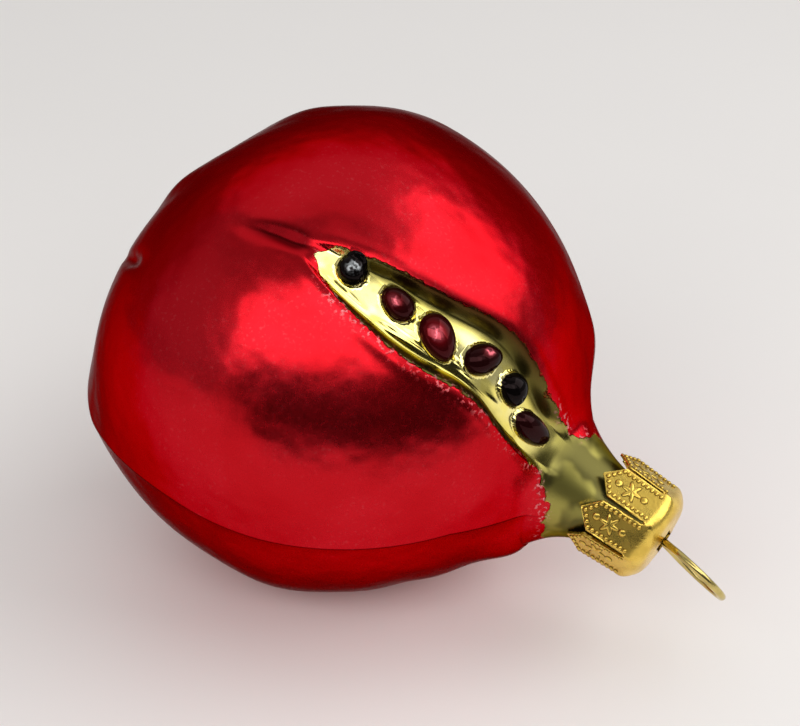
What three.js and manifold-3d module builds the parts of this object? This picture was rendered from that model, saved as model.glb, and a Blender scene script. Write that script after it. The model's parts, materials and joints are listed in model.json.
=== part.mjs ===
// A blown glass ornament in the shape of an opened pomegranate, lying on its side.
// Millimetres, +Z up. Three pieces: the glass body, its pressed metal cap and the wire hanger.
import * as THREE from 'three';
import { mergeVertices } from 'three/addons/utils/BufferGeometryUtils.js';
import Module from 'manifold-3d';

// Glass form. Heights run along the ornament's own axis, from the equator to the neck.
const BODY_R = 38;
const FAR_DEPTH = 32.9;
const NEAR_DEPTH = 41.9;
const NECK_R = 5.4;
const NECK_FLARE = 0.5;
const FLARE_END = 50.5;
const FLARE_SOFTNESS = 1.5;
const NECK_FILLET = 3;
const NECK_BLEND_SHARE = 0.8;
const BOWL_TURN = 76;
const RIM_HEIGHT = 59.2;
const WALL = 1;

// The far end is blown a little to one side.
const LEAN = 4.5;
const LEAN_TOWARD = 104;

// The split runs along one meridian, from its tip near the equator into the neck.
// Lengths along the surface are measured from the equator.
const SPLIT_TIP = -0.5;
const SPLIT_END = 62;
const SPLIT_HALF_WIDTH = 6;
const SPLIT_ROUNDNESS = 0.6;
const SPLIT_OFFSET = -0.6;
const SPLIT_SWAY = -2.3;
const SWAY_CENTRE = 33;
const SWAY_LENGTH = 9;
const SPLIT_DEPTH = 2.2;
const DEEP_FROM = 10;
const DEEP_TO = 46;
const SHALLOW_FROM = 56;
const SIDE_FOOT = 0.68;
const SIDE_TOP = 1.02;
const LIP_HEIGHT = 0.5;
const LIP_WIDTH = 1.1;
const LIP_FULL_FROM = 6;

// The closed crease runs on from the tip of the split and slants a little across it.
const CREASE_START = -13;
const CREASE_DEEPEST = -1;
const CREASE_END = 3;
const CREASE_DEPTH = 0.9;
const CREASE_WIDTH = 1;
const CREASE_OFFSET = -0.65;
const CREASE_SLANT = -0.13;

// Each seed: distance along the split, distance across it, half length, half width, turn in degrees,
// and how much it narrows toward one end.
const SEEDS = [
  { along: 8.3, across: -1.7, length: 2.4, width: 2.3, turn: 0, taper: 0 },
  { along: 16.4, across: -1, length: 3, width: 2.2, turn: 14, taper: 0.1 },
  { along: 23.9, across: -0.8, length: 3.9, width: 2.7, turn: 31, taper: -0.15 },
  { along: 31.6, across: -2.6, length: 3.4, width: 2.5, turn: -50, taper: -0.1 },
  { along: 38.9, across: -2.4, length: 2.9, width: 2.4, turn: 40, taper: -0.2 },
  { along: 46.2, across: -0.4, length: 4.1, width: 2.5, turn: -4, taper: 0 },
];
const SEED_RISE = 2.5;

// The two mould seams stand up as ridges, with a long slope toward the split and a short one away.
// The lower seam drifts: it turns away from the split at the far end and toward it at the neck.
const LOW_SEAM = { angle: 69, height: 0.6, side: 1 };
const HIGH_SEAM = { angle: -76, height: 0.35, side: -1 };
const SEAM_LONG_SLOPE = 5;
const SEAM_SHORT_SLOPE = 2.5;
const SEAM_START = -54;
const SEAM_FULL_FROM = -46;
const SEAM_FULL_TO = 50;
const SEAM_END = 58;
const FAR_DRIFT = 0.021;
const FAR_DRIFT_LENGTH = 24;
const NECK_DRIFT = -0.0068;
const NECK_DRIFT_LENGTH = 40;
const DRIFT_CORE = 5;
const DRIFT_REACH = 35;

// Soft swellings and dents of the hand-blown form: place, spread and height.
const SWELLINGS = [
  { along: 51, angle: 112, length: 5, spread: 36, height: 2.5 },
  { along: 33, angle: 108, length: 4, spread: 20, height: -0.55 },
  { along: 13, angle: 103, length: 8, spread: 22, height: 0.95 },
  { along: -27, angle: 86, length: 9, spread: 13, height: 1 },
  { along: 40, angle: -84, length: 5, spread: 16, height: 0.75 },
  { along: 52.5, angle: -88, length: 3, spread: 28, height: 0.5 },
  { along: -18.5, angle: -52, length: 5, spread: 8, height: 0.6 },
  { along: -27, angle: -41, length: 3, spread: 6, height: -0.6 },
  { along: -34, angle: -22, length: 6, spread: 8, height: 0.65 },
];
const PIT = { along: -33, angle: 18, length: 6, spread: 3.2, height: -1.4 };

// How it lies: the axis slopes down to the neck, and the split looks up and to one side.
const AXIS_SLOPE = 17.88;
const SPLIT_TURN = -142.53;
const FLAT_DEPTH = 1.2;

// Cap: an octagon of pressed sheet with eight pointed tabs.
const SHEET = 0.4;
const CAP_GAP = 1.1;
const CAP_DOME = 0.4;
const CAP_APOTHEM = 7.4;
const CAP_FLARE = 0.5;
const SHOULDER_R = 2.6;
const TAB_COUNT = 8;
const TAB_WIDTH = 5.5;
const TAB_STRAIGHT = 7;
const TAB_POINT = 2.4;
const TAB_ROOT = 0.7;
const TAB_INSET = 0.02;
const HOLE_WIDTH = 4.8;
const HOLE_DEPTH = 3.4;
const CAP_FACING = 14;
const CAP_TILT = 3;
const CAP_SPIN = 17.5;

// Hanger: one spring wire bent into a loop, with two legs that spread inside the neck.
const WIRE_R = 0.55;
const LOOP_R = 5.6;
const LOOP_THROAT = 1.35;
const LOOP_RISE = 6.5;
const THROAT_TURN = 32;
const LEG_LENGTH = 9;
const LEG_SPREAD = 3.3;
const HANGER_TURN = -5;
const HANGER_DROOP = 9.5;

const radians = THREE.MathUtils.degToRad;
const { smoothstep } = THREE.MathUtils;
const wasm = await Module();
wasm.setup();

// The bell-shaped weight of a distance that is measured in widths.
function bell(distance) {
  return Math.exp(-distance * distance);
}

// An angle in degrees, brought to the half turn either side of zero.
function wrapped(degrees) {
  return THREE.MathUtils.euclideanModulo(degrees + 180, 360) - 180;
}

// A weight that rises to 1 between two places and falls again between two later ones.
function between(place, start, full, fullEnd, end) {
  return smoothstep(place, start, full) * (1 - smoothstep(place, fullEnd, end));
}

// Radius of the plain blown form at a height on its axis: two half ellipsoids and a flared neck.
function formRadius(height) {
  const depth = height < 0 ? FAR_DEPTH : NEAR_DEPTH;
  const bodyRadius = BODY_R * Math.sqrt(Math.max(0, 1 - (height / depth) ** 2));
  const flare = Math.log1p(Math.exp((FLARE_END - height) / FLARE_SOFTNESS));
  const neckRadius = NECK_R + NECK_FLARE * FLARE_SOFTNESS * flare;
  const apart = bodyRadius - neckRadius;
  const blended = 0.5 * (bodyRadius + neckRadius + Math.sqrt(apart * apart + NECK_FILLET * NECK_FILLET));
  const neckShare = smoothstep(height, BODY_R / 2, NEAR_DEPTH * NECK_BLEND_SHARE);
  return THREE.MathUtils.lerp(bodyRadius, blended, neckShare);
}

// The outline of the blown form, from the far pole to the rim of the neck.
class FormOutline extends THREE.Curve {
  constructor() {
    super();
    this.arcLengthDivisions = 1200;
    this.ellipseShare = 0.8;
    this.ellipseEnd = radians(BOWL_TURN);
  }

  getPoint(t, target = new THREE.Vector2()) {
    if (t < this.ellipseShare) {
      const angle = THREE.MathUtils.lerp(-Math.PI / 2, this.ellipseEnd, t / this.ellipseShare);
      const height = Math.sin(angle) * (angle < 0 ? FAR_DEPTH : NEAR_DEPTH);
      return target.set(formRadius(height), height);
    }
    const share = (t - this.ellipseShare) / (1 - this.ellipseShare);
    const height = THREE.MathUtils.lerp(NEAR_DEPTH * Math.sin(this.ellipseEnd), RIM_HEIGHT, share);
    return target.set(formRadius(height), height);
  }
}

const outline = new FormOutline();
const outlineLength = outline.getLength();

// The equator is where the outline first reaches height zero.
function equatorLength() {
  const lengths = outline.getLengths();
  const equatorShare = outline.ellipseShare * (Math.PI / 2) / (Math.PI / 2 + outline.ellipseEnd);
  return lengths[Math.round(equatorShare * outline.arcLengthDivisions)];
}

const farLength = equatorLength();

// Half the width of the split, and its middle line, at a distance along the surface.
function splitHalfWidth(along) {
  const share = THREE.MathUtils.clamp((along - SPLIT_TIP) / (SPLIT_END - SPLIT_TIP), 0, 1);
  return SPLIT_HALF_WIDTH * Math.sin(Math.PI * share) ** SPLIT_ROUNDNESS;
}

function splitMiddle(along) {
  return SPLIT_OFFSET + SPLIT_SWAY * bell((along - SWAY_CENTRE) / SWAY_LENGTH);
}

// Depth of the split's floor below the plain form.
function splitFloor(along, across) {
  const ends = between(along, SPLIT_TIP, DEEP_FROM, DEEP_TO, SHALLOW_FROM);
  if (ends === 0) return 0;
  const share = Math.abs(across - splitMiddle(along)) / splitHalfWidth(along);
  return -SPLIT_DEPTH * ends * (1 - smoothstep(share, SIDE_FOOT, SIDE_TOP));
}

// Raised lips along both edges of the split.
function splitLips(along, across) {
  const outside = Math.abs(across - splitMiddle(along)) - splitHalfWidth(along) - LIP_WIDTH;
  const ends = between(along, SPLIT_TIP, LIP_FULL_FROM, DEEP_TO, SHALLOW_FROM);
  return LIP_HEIGHT * ends * bell(outside / LIP_WIDTH);
}

// The closed crease that runs on from the tip of the split.
function crease(along, across) {
  const ends = between(along, CREASE_START, CREASE_DEEPEST, CREASE_DEEPEST, CREASE_END);
  const middle = CREASE_OFFSET + CREASE_SLANT * along;
  return -CREASE_DEPTH * ends * bell((across - middle) / CREASE_WIDTH);
}

// Seeds stand up from the floor of the split as rounded domes.
function seedRise(along, across) {
  let rise = 0;
  for (const seed of SEEDS) {
    const turn = radians(seed.turn);
    const x = along - seed.along;
    const y = across - seed.across;
    const u = (x * Math.cos(turn) + y * Math.sin(turn)) / seed.length;
    const v = (y * Math.cos(turn) - x * Math.sin(turn)) / (seed.width * (1 + seed.taper * u));
    rise = Math.max(rise, SEED_RISE * Math.sqrt(Math.max(0, 1 - u * u - v * v)));
  }
  return rise;
}

// A soft bump or dent of the blown form.
function swelling(along, degrees, bump) {
  const turn = wrapped(degrees - bump.angle) / bump.spread;
  return bump.height * bell((along - bump.along) / bump.length) * bell(turn);
}

// Angle of the lower seam at a distance along the surface.
function lowSeamAngle(along) {
  const far = THREE.MathUtils.clamp(-along, 0, FAR_DRIFT_LENGTH);
  const near = THREE.MathUtils.clamp(along, 0, NECK_DRIFT_LENGTH);
  return LOW_SEAM.angle + FAR_DRIFT * far * far + NECK_DRIFT * near * near;
}

// A column of points near the lower seam is carried along with the seam's drift.
function drifted(column, along) {
  const away = Math.abs(wrapped(column - LOW_SEAM.angle));
  const share = 1 - smoothstep(away, DRIFT_CORE, DRIFT_REACH);
  return column + share * (lowSeamAngle(along) - LOW_SEAM.angle);
}

// Height of one seam's ridge at an angle from it.
function seamRidge(seam, along, degrees, radius) {
  const ends = between(along, SEAM_START, SEAM_FULL_FROM, SEAM_FULL_TO, SEAM_END);
  const outward = seam.side * radius * radians(wrapped(degrees));
  const slope = outward > 0 ? SEAM_SHORT_SLOPE : SEAM_LONG_SLOPE;
  return seam.height * ends * Math.exp(-Math.abs(outward) / slope);
}

// Relief that both faces of the wall follow.
function wallRelief(along, across, degrees) {
  let height = splitFloor(along, across) + swelling(along, degrees, PIT);
  for (const bump of SWELLINGS) height += swelling(along, degrees, bump);
  return height;
}

// Relief of the outer face only.
function outerRelief(along, across, degrees, radius) {
  const ridges = seamRidge(LOW_SEAM, along, degrees - lowSeamAngle(along), radius)
    + seamRidge(HIGH_SEAM, along, degrees - HIGH_SEAM.angle, radius);
  return ridges + splitLips(along, across) + crease(along, across) + seedRise(along, across);
}

// A point of the glass wall: outside for depth 0, inside for the depth of the wall.
function glassPoint(along, column, depth) {
  const share = THREE.MathUtils.clamp((along + farLength) / outlineLength, 0, 1);
  const base = outline.getPointAt(share);
  const tangent = outline.getTangentAt(share);
  const degrees = drifted(column, along);
  const across = base.x * radians(wrapped(degrees));
  let offset = wallRelief(along, across, degrees) - depth;
  if (depth === 0) offset += outerRelief(along, across, degrees, base.x);
  const poleFade = share === 0 ? 0 : 1;
  const radius = Math.max(0, base.x + offset * tangent.y) * poleFade;
  const height = base.y - offset * (poleFade ? tangent.x : 1);
  const angle = radians(degrees);
  const point = new THREE.Vector3(radius * Math.cos(angle), radius * Math.sin(angle), height);
  if (base.y < 0) {
    const lean = LEAN * (base.y / FAR_DEPTH) ** 2;
    point.x += lean * Math.cos(radians(LEAN_TOWARD));
    point.y += lean * Math.sin(radians(LEAN_TOWARD));
  }
  return point;
}

// Straight down, seen from the ornament's own axes.
const down = new THREE.Vector3(
  Math.cos(radians(AXIS_SLOPE)) * Math.cos(radians(SPLIT_TURN)),
  -Math.cos(radians(AXIS_SLOPE)) * Math.sin(radians(SPLIT_TURN)),
  Math.sin(radians(AXIS_SLOPE)),
);

// Steps from one value to another, without the last.
function steps(from, to, count) {
  return Array.from({ length: count }, (_, i) => from + ((to - from) * i) / count);
}

// Join shared corners and drop the triangles that have no area.
function weld(geometry) {
  geometry.deleteAttribute('uv');
  geometry.deleteAttribute('normal');
  const merged = mergeVertices(geometry, 1e-4);
  const index = merged.getIndex().array;
  const kept = [];
  for (let i = 0; i < index.length; i += 3) {
    const [a, b, c] = [index[i], index[i + 1], index[i + 2]];
    if (a !== b && b !== c && c !== a) kept.push(a, b, c);
  }
  merged.setIndex(kept);
  merged.computeVertexNormals();
  return merged;
}

// A turned solid whose points are then placed by a rule of row and angle.
function shapedLathe(profile, columns, place) {
  const geometry = new THREE.LatheGeometry(profile, columns.length);
  const position = geometry.getAttribute('position');
  for (let i = 0; i < position.count; i += 1) {
    const row = i % profile.length;
    const column = Math.floor(i / profile.length) % columns.length;
    const point = place(row, columns[column]);
    position.setXYZ(i, point.x, point.y, point.z);
  }
  return weld(geometry);
}

// Angles of the glass mesh: close across the split, at the seams and where it rests.
const glassColumns = [
  ...steps(-28, 15, 24),
  ...[15, PIT.angle, 21],
  ...steps(26, 59, 4),
  ...[59, 64, 67, LOW_SEAM.angle, 71, 74, 79],
  ...steps(86, 124, 4),
  ...steps(124, 161, 7),
  ...steps(161, 275, 10),
  ...[275, 280, 282.5, 360 + HIGH_SEAM.angle, 286, 290],
  ...steps(297, 332, 4),
];

// Distances along the outer face, from the far pole to the rim, and back along the inner face.
const rimAlong = outlineLength - farLength;
const outerRows = [
  ...steps(-farLength, -2, 9),
  ...steps(-2, 53, 40),
  ...steps(53, rimAlong, 8),
  rimAlong,
];
const innerRows = [rimAlong, ...steps(rimAlong - 6, -2, 11), ...steps(-2, -farLength, 5), -farLength];

// The glass body: the relief on the plain form, flattened where it rests.
function glassGeometry() {
  const rows = [
    ...outerRows.map((along) => ({ along, depth: 0 })),
    ...innerRows.map((along) => ({ along, depth: WALL })),
  ];
  const profile = rows.map((row) => new THREE.Vector2(1, row.along));
  let reach = 0;
  for (const along of outerRows) {
    for (const column of glassColumns) reach = Math.max(reach, glassPoint(along, column, 0).dot(down));
  }
  const seat = reach - FLAT_DEPTH;
  return shapedLathe(profile, glassColumns, (row, column) => {
    const { along, depth } = rows[row];
    const point = glassPoint(along, column, depth);
    const excess = point.dot(down) - (seat - depth);
    if (excess > 0) point.addScaledVector(down, -excess);
    return point;
  });
}

// Solids for joining and cutting.
function solidOf(geometry) {
  const welded = weld(geometry);
  return new wasm.Manifold(new wasm.Mesh({
    numProp: 3,
    vertProperties: new Float32Array(welded.getAttribute('position').array),
    triVerts: new Uint32Array(welded.getIndex().array),
  }));
}

function geometryOf(solid) {
  const mesh = solid.getMesh();
  const geometry = new THREE.BufferGeometry();
  geometry.setAttribute('position', new THREE.BufferAttribute(mesh.vertProperties, 3));
  geometry.setIndex(new THREE.BufferAttribute(mesh.triVerts, 1));
  geometry.computeVertexNormals();
  return geometry;
}

// Crown of the cap: a domed end and a round shoulder, which becomes an octagon at the fold.
// Its heights are measured from the fold, where the tabs begin.
function crownGeometry() {
  const centre = CAP_APOTHEM - SHOULDER_R;
  const arcPoint = (radius, turn) => [centre + radius * Math.cos(turn), radius * Math.sin(turn)];
  const inside = [Math.PI / 2, Math.PI / 4, 0].map((turn) => arcPoint(SHOULDER_R - SHEET, turn));
  const outside = [0, Math.PI / 6, Math.PI / 3, Math.PI / 2].map((turn) => arcPoint(SHOULDER_R, turn));
  const insideMiddle = [0, SHOULDER_R + CAP_DOME - SHEET];
  const outsideMiddle = [0, SHOULDER_R + CAP_DOME];
  const points = [insideMiddle, ...inside, ...outside, outsideMiddle];
  const profile = points.map(([x, y]) => new THREE.Vector2(x, y));
  const columns = steps(0, 360, 4 * TAB_COUNT);
  const tabAngle = 360 / TAB_COUNT;
  const halfTab = tabAngle / 2;
  return shapedLathe(profile, columns, (row, degrees) => {
    const { x, y } = profile[row];
    const offCentre = THREE.MathUtils.euclideanModulo(degrees + halfTab, tabAngle) - halfTab;
    const octagon = 1 / Math.cos(radians(offCentre));
    const radius = x * THREE.MathUtils.lerp(octagon, 1, smoothstep(y, 0, SHOULDER_R));
    const angle = radians(degrees);
    return new THREE.Vector3(radius * Math.cos(angle), radius * Math.sin(angle), y);
  });
}

// One tab: a strip with a gable point, leaning out a little from the fold.
function tabGeometry(number) {
  const shape = new THREE.Shape();
  shape.moveTo(-TAB_WIDTH / 2, TAB_ROOT);
  shape.lineTo(-TAB_WIDTH / 2, -TAB_STRAIGHT);
  shape.lineTo(0, -TAB_STRAIGHT - TAB_POINT);
  shape.lineTo(TAB_WIDTH / 2, -TAB_STRAIGHT);
  shape.lineTo(TAB_WIDTH / 2, TAB_ROOT);
  shape.closePath();
  const geometry = new THREE.ExtrudeGeometry(shape, { depth: SHEET, bevelEnabled: false });
  geometry.translate(0, 0, -SHEET);
  geometry.rotateX(Math.PI / 2 - Math.atan(CAP_FLARE / (TAB_STRAIGHT + TAB_POINT)));
  geometry.rotateZ(Math.PI / 2);
  geometry.translate(CAP_APOTHEM - TAB_INSET, 0, 0);
  geometry.rotateZ((number * 2 * Math.PI) / TAB_COUNT);
  return geometry;
}

// The whole cap: crown and tabs in one sheet, with a slot in its end for the wire.
function capGeometry() {
  let cap = solidOf(crownGeometry());
  for (let number = 0; number < TAB_COUNT; number += 1) cap = cap.add(solidOf(tabGeometry(number)));
  const slot = new THREE.BoxGeometry(HOLE_WIDTH, HOLE_DEPTH, SHOULDER_R);
  slot.translate(0, 0, SHOULDER_R);
  slot.rotateZ(radians(HANGER_TURN - CAP_SPIN));
  return geometryOf(cap.subtract(solidOf(slot)));
}

// Middle line of the wire: up one leg, round the loop and down the other leg.
// The origin is in the slot of the cap's end, x across the loop and z along it.
function wireLine() {
  const throatTurn = radians(THROAT_TURN);
  const leg = [
    new THREE.Vector3(-LEG_SPREAD, 0, -LEG_LENGTH),
    new THREE.Vector3(-(LEG_SPREAD + LOOP_THROAT) / 2, 0, -LEG_LENGTH / 2),
    new THREE.Vector3(-LOOP_THROAT, 0, -WIRE_R),
  ];
  const loopPoints = 12;
  const loop = Array.from({ length: loopPoints + 1 }, (_, i) => {
    const turn = THREE.MathUtils.lerp(throatTurn, 2 * Math.PI - throatTurn, i / loopPoints);
    return new THREE.Vector3(-LOOP_R * Math.sin(turn), 0, LOOP_RISE - LOOP_R * Math.cos(turn));
  });
  const otherLeg = leg.map((point) => new THREE.Vector3(-point.x, 0, point.z)).reverse();
  return new THREE.CatmullRomCurve3([...leg, ...loop, ...otherLeg]);
}

function hangerGeometry() {
  const section = new THREE.Shape();
  section.absarc(0, 0, WIRE_R, 0, 2 * Math.PI, false);
  const settings = { steps: 60, curveSegments: 4, bevelEnabled: false, extrudePath: wireLine() };
  return weld(new THREE.ExtrudeGeometry(section, settings));
}

function piece(name, geometry, color, roughness, metalness) {
  const mesh = new THREE.Mesh(geometry, new THREE.MeshStandardMaterial({ color, roughness, metalness }));
  mesh.name = name;
  return mesh;
}

const glassBody = piece('glass_body', glassGeometry(), '#b0101c', 0.3, 0.6);
const cap = piece('cap', capGeometry(), '#b8913a', 0.35, 1);
const hanger = piece('hanger', hangerGeometry(), '#a8934e', 0.3, 1);

// The cap sits a little askew on the neck, and the hanger droops from the cap.
const capSeat = new THREE.Group();
capSeat.position.z = RIM_HEIGHT + CAP_GAP + SHEET - SHOULDER_R;
capSeat.rotation.z = radians(CAP_FACING);
const capTilt = new THREE.Group();
capTilt.rotation.x = -radians(CAP_TILT);
cap.rotation.z = radians(CAP_SPIN);
const hangerSeat = new THREE.Group();
hangerSeat.position.z = SHOULDER_R;
hangerSeat.rotation.z = radians(HANGER_TURN);
hanger.rotation.x = -radians(HANGER_DROOP);
hangerSeat.add(hanger);
capTilt.add(cap, hangerSeat);
capSeat.add(capTilt);

// The ornament about its own axis, then laid down with its neck toward +X.
const turned = new THREE.Group();
turned.rotation.z = radians(SPLIT_TURN);
turned.add(glassBody, capSeat);
const lying = new THREE.Group();
lying.rotation.y = Math.PI / 2 + radians(AXIS_SLOPE);
lying.add(turned);

// The origin is under the middle of the whole, on the surface it lies on.
const ornament = new THREE.Group();
ornament.add(lying);
ornament.updateMatrixWorld(true);
const extent = new THREE.Box3().setFromObject(ornament, true);
const middle = extent.getCenter(new THREE.Vector3());
lying.position.set(-middle.x, -middle.y, -extent.min.z);
ornament.updateMatrixWorld(true);

export default ornament;
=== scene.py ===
"""Studio scene of a blown glass ornament shaped like an opened pomegranate.

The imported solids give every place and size. This script dresses them: the lacquered glass body with
its gold split and raised seeds, the pressed cap with its beaded tabs, and the wire hanger. Forms are
worked out in millimetres on the ornament's own axes and placed in the frame, which is in metres.
"""

import json
import logging
import math
from dataclasses import dataclass, field
from enum import Enum
from typing import Sequence, Union

import bpy
import numpy as np
from mathutils import Matrix, Vector

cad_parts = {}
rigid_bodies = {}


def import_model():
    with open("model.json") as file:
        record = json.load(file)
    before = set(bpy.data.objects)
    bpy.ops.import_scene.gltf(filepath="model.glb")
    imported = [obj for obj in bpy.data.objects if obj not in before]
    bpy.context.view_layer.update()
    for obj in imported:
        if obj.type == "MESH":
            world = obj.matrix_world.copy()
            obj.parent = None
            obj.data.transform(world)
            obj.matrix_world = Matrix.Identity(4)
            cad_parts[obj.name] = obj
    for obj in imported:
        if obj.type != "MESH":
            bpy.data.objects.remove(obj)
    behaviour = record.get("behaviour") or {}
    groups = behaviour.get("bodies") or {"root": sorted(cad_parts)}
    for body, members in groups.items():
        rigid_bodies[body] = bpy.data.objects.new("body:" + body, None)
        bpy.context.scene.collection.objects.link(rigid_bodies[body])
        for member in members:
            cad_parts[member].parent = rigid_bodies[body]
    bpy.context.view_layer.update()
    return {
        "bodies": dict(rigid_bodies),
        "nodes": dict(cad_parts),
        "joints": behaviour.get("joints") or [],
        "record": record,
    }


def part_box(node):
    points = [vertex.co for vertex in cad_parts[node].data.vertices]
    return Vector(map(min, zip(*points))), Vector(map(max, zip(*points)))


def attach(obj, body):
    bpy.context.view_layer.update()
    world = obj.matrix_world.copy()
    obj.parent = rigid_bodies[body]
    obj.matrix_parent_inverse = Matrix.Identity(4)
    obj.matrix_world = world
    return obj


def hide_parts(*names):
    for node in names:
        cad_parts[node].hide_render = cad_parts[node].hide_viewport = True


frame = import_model()

LOG = logging.getLogger("ornament")
MM = 0.001
IMAGE_WIDTH = 800
IMAGE_HEIGHT = 726
ROOT_BODY = "root"

Color = tuple[float, float, float]
Span = tuple[float, float]
Number = Union["Field", float]


class SeedTone(Enum):
    """How dark a seed is painted, from black to clear red."""

    BLACK = 0.0
    MAROON = 0.22
    GARNET = 0.35
    RED = 0.6


class Field:
    """A value that varies over a surface: a node socket that takes part in plain arithmetic."""

    def __init__(self, tree: bpy.types.NodeTree, socket: bpy.types.NodeSocket) -> None:
        """Keep the tree and the socket.

        Args:
            tree: The node tree that the socket belongs to.
            socket: The output socket that carries the value.
        """
        self.tree = tree
        self.socket = socket

    def feed(self, slot: bpy.types.NodeSocket) -> None:
        """Link this value to an input socket."""
        self.tree.links.new(self.socket, slot)

    def math(self, operation: str, *others: Number, clamp: bool = False) -> "Field":
        """Combine this value with others in one math node.

        Args:
            operation: The math node's operation.
            others: The second and third operands, if any.
            clamp: Whether the result is kept between 0 and 1.

        Returns:
            The result as a new field.
        """
        node = self.tree.nodes.new("ShaderNodeMath")
        node.operation = operation
        node.use_clamp = clamp
        for slot, value in zip(node.inputs, (self, *others)):
            plug(slot, value)
        return Field(self.tree, node.outputs[0])

    def __add__(self, other: Number) -> "Field":
        """Return the sum."""
        return self.math("ADD", other)

    def __sub__(self, other: Number) -> "Field":
        """Return the difference."""
        return self.math("SUBTRACT", other)

    def __rsub__(self, other: Number) -> "Field":
        """Return a number less this value."""
        return self.math("MULTIPLY_ADD", -1.0, other)

    def __mul__(self, other: Number) -> "Field":
        """Return the product."""
        return self.math("MULTIPLY", other)

    def __truediv__(self, other: Number) -> "Field":
        """Return the quotient."""
        return self.math("DIVIDE", other)

    __radd__ = __add__
    __rmul__ = __mul__

    def abs(self) -> "Field":
        """Return the absolute value."""
        return self.math("ABSOLUTE")

    def power(self, exponent: float) -> "Field":
        """Return this value, if positive, to a power."""
        return self.math("MAXIMUM", 0.0).math("POWER", exponent)

    def maximum(self, other: Number) -> "Field":
        """Return the larger of two values."""
        return self.math("MAXIMUM", other)

    def minimum(self, other: Number) -> "Field":
        """Return the smaller of two values."""
        return self.math("MINIMUM", other)

    def bell(self) -> "Field":
        """Return a bell-shaped weight, 1 where this value is 0."""
        return (self * self * -1.0).math("EXPONENT")

    def step(self, low: Number, high: Number) -> "Field":
        """Return a smooth step from 0 at low to 1 at high."""
        node = self.tree.nodes.new("ShaderNodeMapRange")
        node.interpolation_type = "SMOOTHSTEP"
        self.feed(node.inputs["Value"])
        plug(node.inputs["From Min"], low)
        plug(node.inputs["From Max"], high)
        return Field(self.tree, node.outputs["Result"])


def plug(slot: bpy.types.NodeSocket, value: Number) -> None:
    """Link a field to an input socket, or set a plain number on it."""
    if isinstance(value, Field):
        value.feed(slot)
    else:
        slot.default_value = value


class NodeSheet:
    """A node tree with short ways to add the nodes that this file uses."""

    def __init__(self, tree: bpy.types.NodeTree) -> None:
        """Keep the tree.

        Args:
            tree: A geometry or shader node tree.
        """
        self.tree = tree

    def add(self, kind: str, **settings: object) -> bpy.types.Node:
        """Add a node and set its properties.

        Args:
            kind: The node's type name.
            settings: Properties of the node by name.

        Returns:
            The new node.
        """
        node = self.tree.nodes.new(kind)
        for name, value in settings.items():
            setattr(node, name, value)
        return node

    def link(self, output: bpy.types.NodeSocket, slot: bpy.types.NodeSocket) -> None:
        """Link two sockets."""
        self.tree.links.new(output, slot)

    def field(self, output: bpy.types.NodeSocket) -> Field:
        """Return an output socket as a field."""
        return Field(self.tree, output)

    def noise(self, position: bpy.types.NodeSocket, scale: Number, detail: float = 3.0) -> Field:
        """Add a noise texture.

        Args:
            position: The socket that gives the place, in metres.
            scale: Waves per metre.
            detail: How many finer layers are added.

        Returns:
            The noise as a field from 0 to 1.
        """
        node = self.add("ShaderNodeTexNoise", noise_dimensions="3D")
        self.link(position, node.inputs["Vector"])
        plug(node.inputs["Scale"], scale)
        node.inputs["Detail"].default_value = detail
        return self.field(node.outputs["Fac"])


class GeometrySheet(NodeSheet):
    """A geometry node tree that takes a mesh or a curve and named sizes."""

    def __init__(self, name: str, sizes: dict[str, float]) -> None:
        """Make the tree and its inputs.

        Args:
            name: The tree's name.
            sizes: The named inputs with their values.
        """
        super().__init__(bpy.data.node_groups.new(name, "GeometryNodeTree"))
        self.sizes = sizes
        face = self.tree.interface
        face.new_socket("Geometry", in_out="INPUT", socket_type="NodeSocketGeometry")
        for label in sizes:
            face.new_socket(label, in_out="INPUT", socket_type="NodeSocketFloat")
        face.new_socket("Geometry", in_out="OUTPUT", socket_type="NodeSocketGeometry")
        self.source = self.add("NodeGroupInput")
        self.target = self.add("NodeGroupOutput")
        self.flow = self.source.outputs["Geometry"]

    def size(self, label: str) -> Field:
        """Return a named size as a field."""
        return self.field(self.source.outputs[label])

    def attribute(self, name: str, kind: str = "FLOAT") -> bpy.types.NodeSocket:
        """Return the socket of a named attribute of the mesh."""
        node = self.add("GeometryNodeInputNamedAttribute", data_type=kind)
        node.inputs["Name"].default_value = name
        return node.outputs["Attribute"]

    def pass_through(self, node: bpy.types.Node, slot: str = "Geometry") -> bpy.types.Node:
        """Send the geometry through a node and go on from its first output."""
        self.link(self.flow, node.inputs[slot])
        self.flow = node.outputs[0]
        return node

    def store(self, name: str, value: Field) -> None:
        """Store a field on the points of the geometry."""
        node = self.add("GeometryNodeStoreNamedAttribute", data_type="FLOAT", domain="POINT")
        node.inputs["Name"].default_value = name
        value.feed(node.inputs["Value"])
        self.pass_through(node)

    def close(self, material: bpy.types.Material) -> None:
        """End the tree: real geometry, smooth faces and the finish."""
        self.pass_through(self.add("GeometryNodeRealizeInstances"))
        self.pass_through(self.add("GeometryNodeSetShadeSmooth"))
        finish = self.add("GeometryNodeSetMaterial")
        finish.inputs["Material"].default_value = material
        self.pass_through(finish)
        self.link(self.flow, self.target.inputs["Geometry"])

    def apply_to(self, piece: bpy.types.Object) -> bpy.types.Object:
        """Run the tree on an object and keep the result as a plain mesh.

        Args:
            piece: A mesh or curve object that carries the tree's input.

        Returns:
            A mesh object with the same name and no modifiers.
        """
        modifier = piece.modifiers.new(self.tree.name, "NODES")
        modifier.node_group = self.tree
        for item in self.tree.interface.items_tree:
            if item.in_out == "INPUT" and item.name in self.sizes:
                modifier[item.identifier] = self.sizes[item.name]
        return made_plain(piece)


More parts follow.
